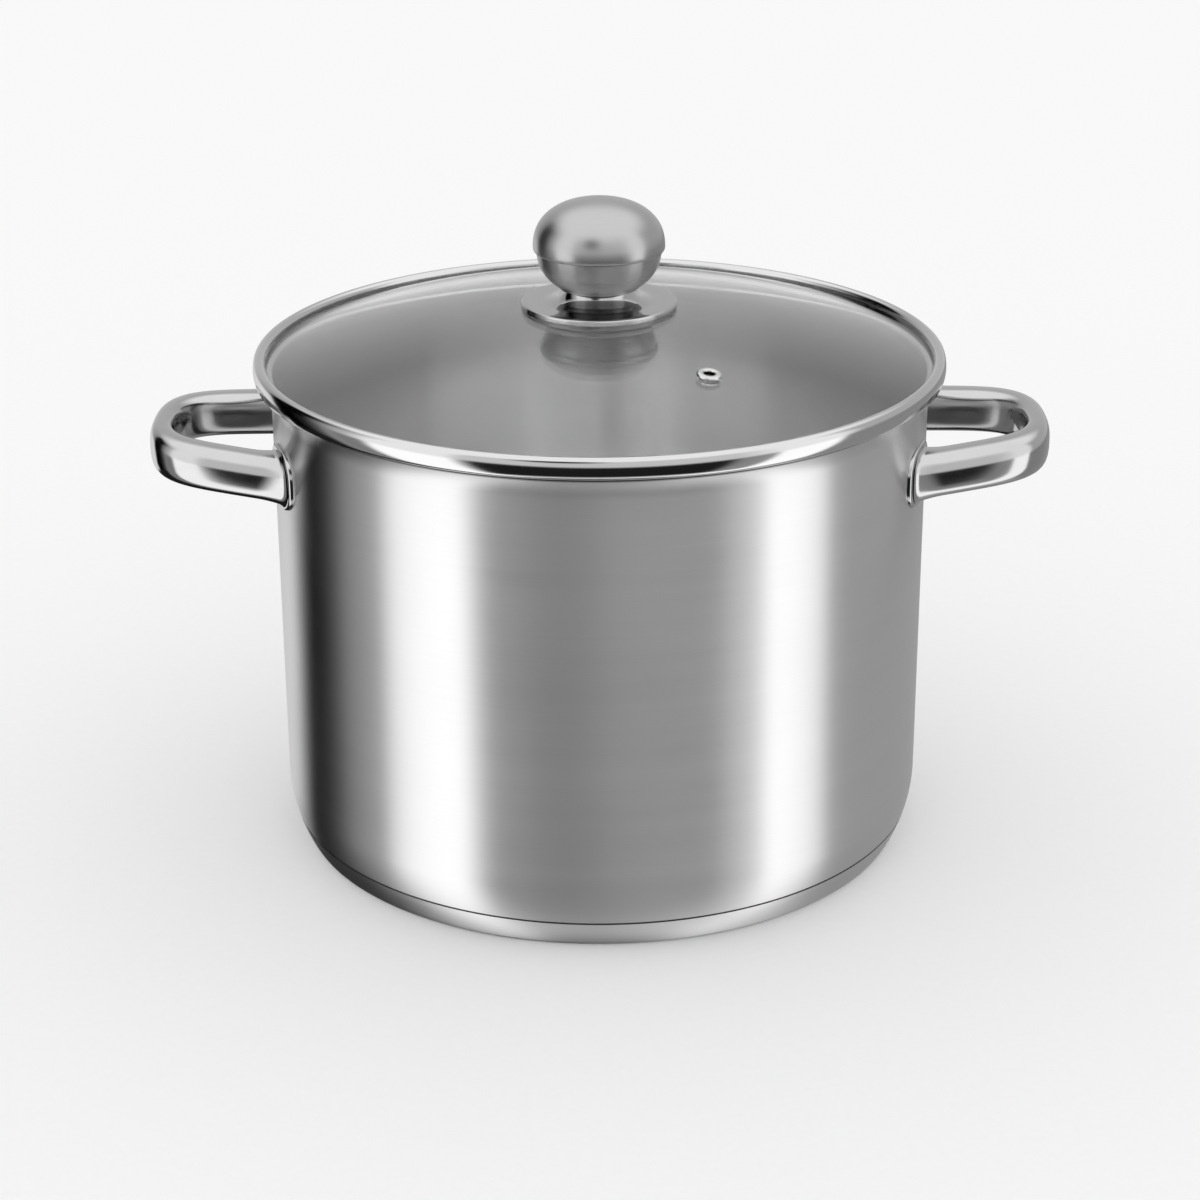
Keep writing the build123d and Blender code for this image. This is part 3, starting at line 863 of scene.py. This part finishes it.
foot_ring = ring_of([
    (-180, 0.15), (-150, 0.1), (-138, 0.02), (-104, 0.02), (-97, 0.3), (-90, 0.5), (-82, 0.5),
    (-77, 1.9), (-50, 1.9), (-44, 0.95), (0, 1.0), (30, 1.25), (56, 1.35), (60, 1.9), (82, 1.9),
    (88, 0.7), (140, 0.4), (180, 0.15),
])
low_ring = ring_of([
    (-180, 0.35), (-165, 0.7), (-140, 1.1), (-133, 1.0), (-129.5, 0.0), (-117, 0.0), (-109, 0.03),
    (-103, 0.14), (-97, 0.4), (-92, 0.35), (-82, 0.35), (-77, 1.9), (-49, 1.9), (-45, 0.8),
    (-41, 0.02), (0, 0.02), (41, 0.02), (46, 0.4), (57, 0.5), (60, 1.9), (82, 1.9), (86, 0.4),
    (125, 0.4), (150, 0.4), (165, 0.35), (180, 0.35),
])
high_ring = ring_of([
    (-180, 0.7), (-155, 0.7), (-134, 0.5), (-129, 0.0), (-109, 0.0), (-101, 0.3), (-95, 0.6),
    (-88, 0.8), (-78, 1.5), (-50, 1.5), (-44, 1.0), (0, 0.95), (44, 1.0), (60, 1.5), (82, 1.5),
    (92, 0.7), (150, 0.7), (180, 0.7),
])
shade_ring = ring_of([(-180, 0.0), (-172, 1.0), (-105, 1.0), (-98, 0.0), (180, 0.0)])

surround = sky.blend(low_ring, high_ring, step(0.455, 0.485, 0.0, 1.0))
surround = sky.blend(surround, TOP_LIGHT, step(0.66, 0.76, 0.0, 1.0))
surround = sky.blend(surround, foot_ring, step(0.19, 0.24, 1.0, 0.0))
shade = sky.times(shade_ring, step(0.342, 0.358, 1.0, 0.0))
surround = sky.blend(surround, SHADE_LIGHT, shade)
surround = sky.blend(surround, NADIR_LIGHT, step(0.06, 0.1, 1.0, 0.0))

# A dark patch high on the front, as a camera in the room leaves on polished metal
towards = sky.nodes.new("ShaderNodeVectorMath")
towards.operation = "DOT_PRODUCT"
sky.feed(direction, towards.inputs[0])
towards.inputs[1].default_value = (
    sin(SPOT_TURN) * cos(SPOT_RISE), -cos(SPOT_TURN) * cos(SPOT_RISE), sin(SPOT_RISE)
)
spot = sky.rise(towards.outputs["Value"], cos(SPOT_EDGE), cos(SPOT_CORE))
surround = sky.blend(surround, SPOT_LIGHT, spot)

path = sky.nodes.new("ShaderNodeLightPath")
glossy = sky.maths("MINIMUM", path.outputs["Glossy Depth"], 1.0)
mirrored = sky.times(glossy, sky.minus(1.0, path.outputs["Is Diffuse Ray"]))
background = sky.nodes.new("ShaderNodeBackground")
sky.feed(sky.blend(1.0, surround, mirrored), background.inputs[0])
background.inputs[1].default_value = 1.0
output = sky.nodes.new("ShaderNodeOutputWorld")
sky.feed(background.outputs[0], output.inputs[0])
scene.view_settings.view_transform = "Standard"

# Camera: distance to the aim point and its height in metres, tilt and roll in radians

DISTANCE, TILT, AIM_Z, ROLL = 1.061626, 0.38498, 0.0852286, 0.0049
camera_data = bpy.data.cameras.new("camera")
camera = bpy.data.objects.new("camera", camera_data)
scene.collection.objects.link(camera)
ahead = Vector((0, cos(TILT), -sin(TILT)))
up = Vector((0, sin(TILT), cos(TILT)))
right = Vector((1, 0, 0))
cam_right = right * cos(ROLL) - up * sin(ROLL)
cam_up = right * sin(ROLL) + up * cos(ROLL)
facing = Matrix((cam_right, cam_up, -ahead)).transposed().to_4x4()
camera.matrix_world = Matrix.Translation(Vector((0, 0, AIM_Z)) - ahead * DISTANCE) @ facing
camera_data.sensor_width = 36.0
camera_data.lens = 84.01
camera_data.shift_x = -0.00057
camera_data.clip_end = 50
scene.camera = camera
